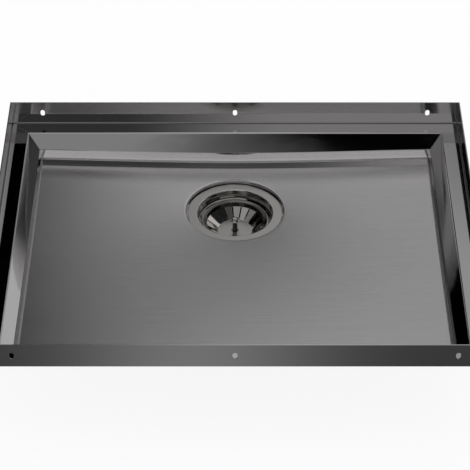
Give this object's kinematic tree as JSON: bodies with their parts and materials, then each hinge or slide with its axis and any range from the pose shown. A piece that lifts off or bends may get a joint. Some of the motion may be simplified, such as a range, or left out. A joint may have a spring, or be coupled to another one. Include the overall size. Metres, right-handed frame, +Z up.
{
  "type": "sink base tray",
  "caption": "Shallow rectangular steel sink base with a bevelled rim, a seating ledge inside a slotted upstand, a floor that falls to the drain and a lift-out basket strainer.",
  "frame": {"origin": "middle of the rim opening, level with the top of the ledge", "axes": "+X along the long side to the right as seen from the front, +Y to the back where the drain is, +Z up"},
  "size_m": [0.544, 0.444, 0.1265],
  "materials": {
    "gunmetal_brushed": "satin",
    "gunmetal_polished": "polished",
    "strainer_steel": "satin",
    "basket_steel": "polished",
    "seal_rubber": "matte",
    "damping_mat": "matte",
    "fibre": "matte",
    "nut_plastic": "satin"
  },
  "bodies": {
    "sink": {"floor_pan": "gunmetal_brushed", "back_rail": "gunmetal_polished", "front_rail": "gunmetal_polished", "left_rail": "gunmetal_polished", "right_rail": "gunmetal_polished", "damper_left": "damping_mat", "damper_right": "damping_mat", "damper_front": "damping_mat", "strainer_cup": "strainer_steel", "flange_seal": "seal_rubber", "under_seal": "seal_rubber", "slip_ring": "fibre", "lock_nut": "nut_plastic", "post_socket": "strainer_steel"},
    "lift_clip": {"spring_clip": "basket_steel"},
    "basket": {"basket_shell": "basket_steel", "basket_post": "basket_steel", "basket_knob": "basket_steel", "stopper": "seal_rubber", "stopper_washer": "basket_steel", "stopper_nut": "basket_steel"}
  },
  "joints": [
    {"name": "basket_lift", "type": "slide", "parent": "sink", "child": "lift_clip", "axis": [0, 0, 1], "range_m": [0, 0.12]},
    {"name": "basket_turn", "type": "hinge", "parent": "lift_clip", "child": "basket", "pos_m": [0, 0.0904, -0.05], "axis": [0, 0, 1], "continuous": true}
  ]
}
